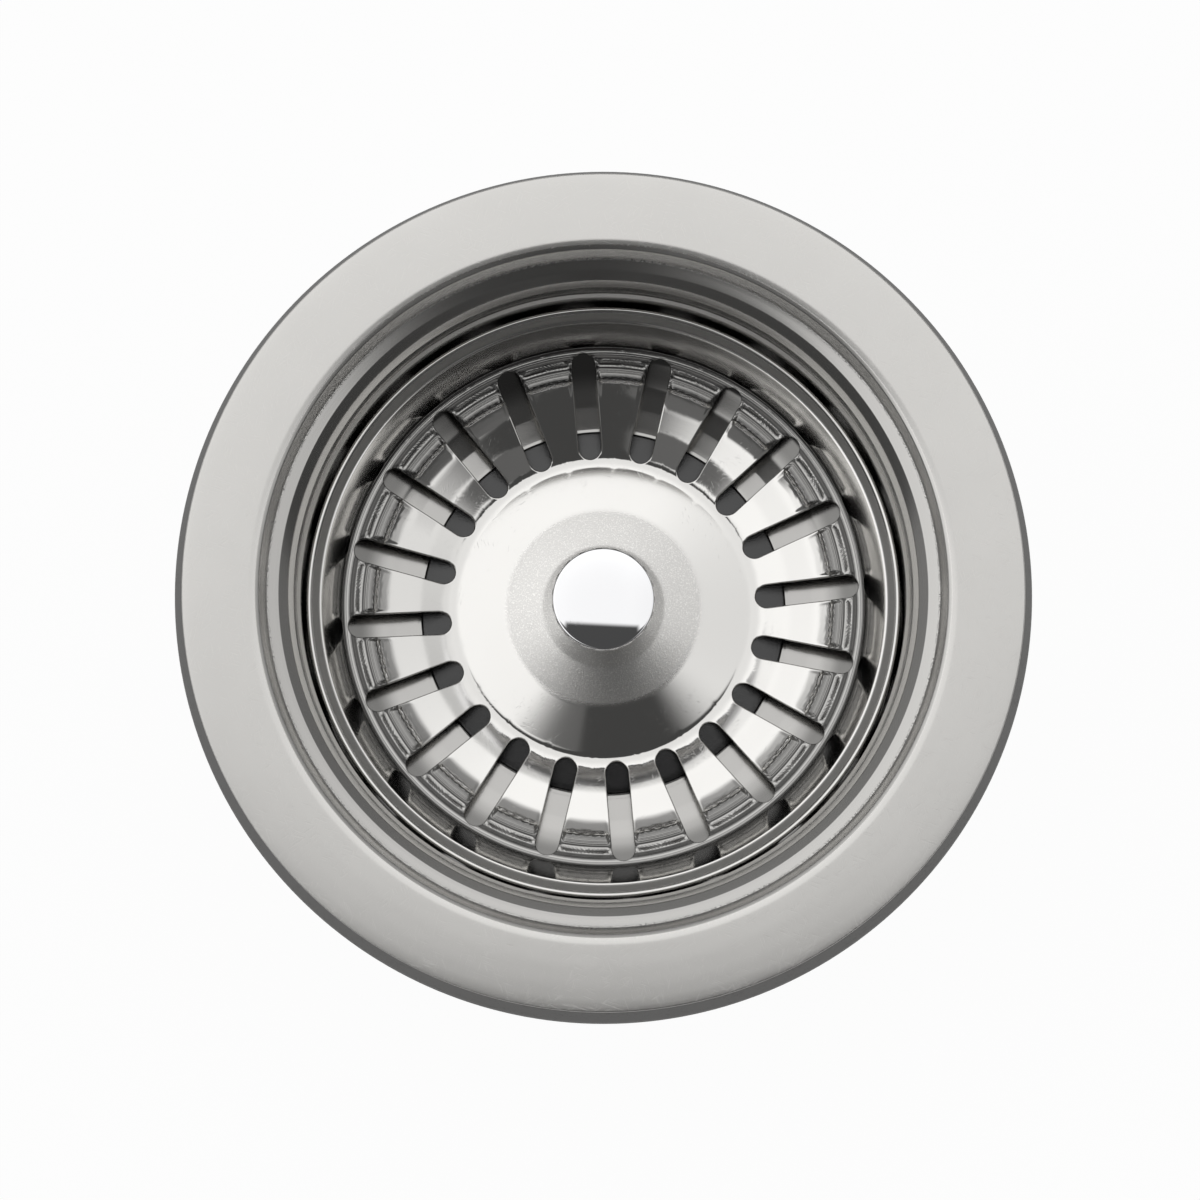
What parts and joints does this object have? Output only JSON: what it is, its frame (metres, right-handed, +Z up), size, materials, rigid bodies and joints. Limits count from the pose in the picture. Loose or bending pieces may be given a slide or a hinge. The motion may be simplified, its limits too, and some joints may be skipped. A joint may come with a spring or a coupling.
{
  "type": "sink drain assembly",
  "caption": "Kitchen sink basket strainer: a wide round flange and cup clamped through the sink, with a lift-out slotted basket, rubber stopper and threaded outlet.",
  "frame": {"origin": "centre of the coupling nut's bottom face, the lowest face of the part", "axes": "+Z up along the drain's axis, from the outlet to the flange; the basket's slots lie at 94.7 degrees from +X and every 18 degrees on"},
  "size_m": [0.1142, 0.1142, 0.0655],
  "materials": {
    "flange_steel": "fine satin brushed stainless steel",
    "basket_steel": "bright stainless steel, satin on the dome's neck",
    "knob_chrome": "mirror polished",
    "post_steel": "turned bright",
    "outlet_steel": "satin",
    "nut_zinc": "die-cast zinc, dull",
    "rubber": "matte black",
    "plastic": "white moulded nylon",
    "fibre": "pressed fibre"
  },
  "bodies": {
    "drain": {"strainer_body": "flange_steel", "flange_seal": "rubber", "outlet_spud": "outlet_steel", "hub_spider": "outlet_steel", "hub_sleeve": "plastic"},
    "clamp_rings": {"sink_gasket": "rubber", "friction_ring": "fibre"},
    "lock_nut": {"lock_nut": "nut_zinc"},
    "outlet_washer": {"tail_washer": "plastic"},
    "coupling_nut": {"coupling_nut": "nut_zinc"},
    "post_ring": {"snap_ring": "plastic"},
    "basket": {"basket_shell": "basket_steel", "knob": "knob_chrome", "knob_collar": "knob_chrome", "post": "post_steel", "backing_plate": "post_steel", "stopper": "rubber", "stopper_retainer": "post_steel", "lock_washer": "post_steel", "retaining_nut": "post_steel"}
  },
  "joints": [
    {"name": "basket_lift", "type": "slide", "parent": "drain", "child": "post_ring", "axis": [0, 0, 1], "range_m": [0, 0.055]},
    {"name": "basket_turn", "type": "hinge", "parent": "post_ring", "child": "basket", "pos_m": [0, 0, 0.0193], "axis": [0, 0, 1], "continuous": true},
    {"name": "clamp_travel", "type": "slide", "parent": "drain", "child": "clamp_rings", "axis": [0, 0, 1], "range_m": [-0.01, 0.0055]},
    {"name": "lock_nut_turn", "type": "hinge", "parent": "clamp_rings", "child": "lock_nut", "pos_m": [0, 0, 0.0426], "axis": [0, 0, 1], "range_deg": [-1700, 935]},
    {"name": "coupling_travel", "type": "slide", "parent": "drain", "child": "outlet_washer", "axis": [0, 0, 1], "range_m": [-0.0085, 0]},
    {"name": "coupling_nut_turn", "type": "hinge", "parent": "outlet_washer", "child": "coupling_nut", "pos_m": [0, 0, 0.0075], "axis": [0, 0, 1], "range_deg": [-1385, 0]}
  ],
  "couplings": [
    {"joint": "clamp_travel", "follows": "lock_nut_turn", "m_per_rad": 0.00033687},
    {"joint": "coupling_travel", "follows": "coupling_nut_turn", "m_per_rad": 0.00035153}
  ]
}
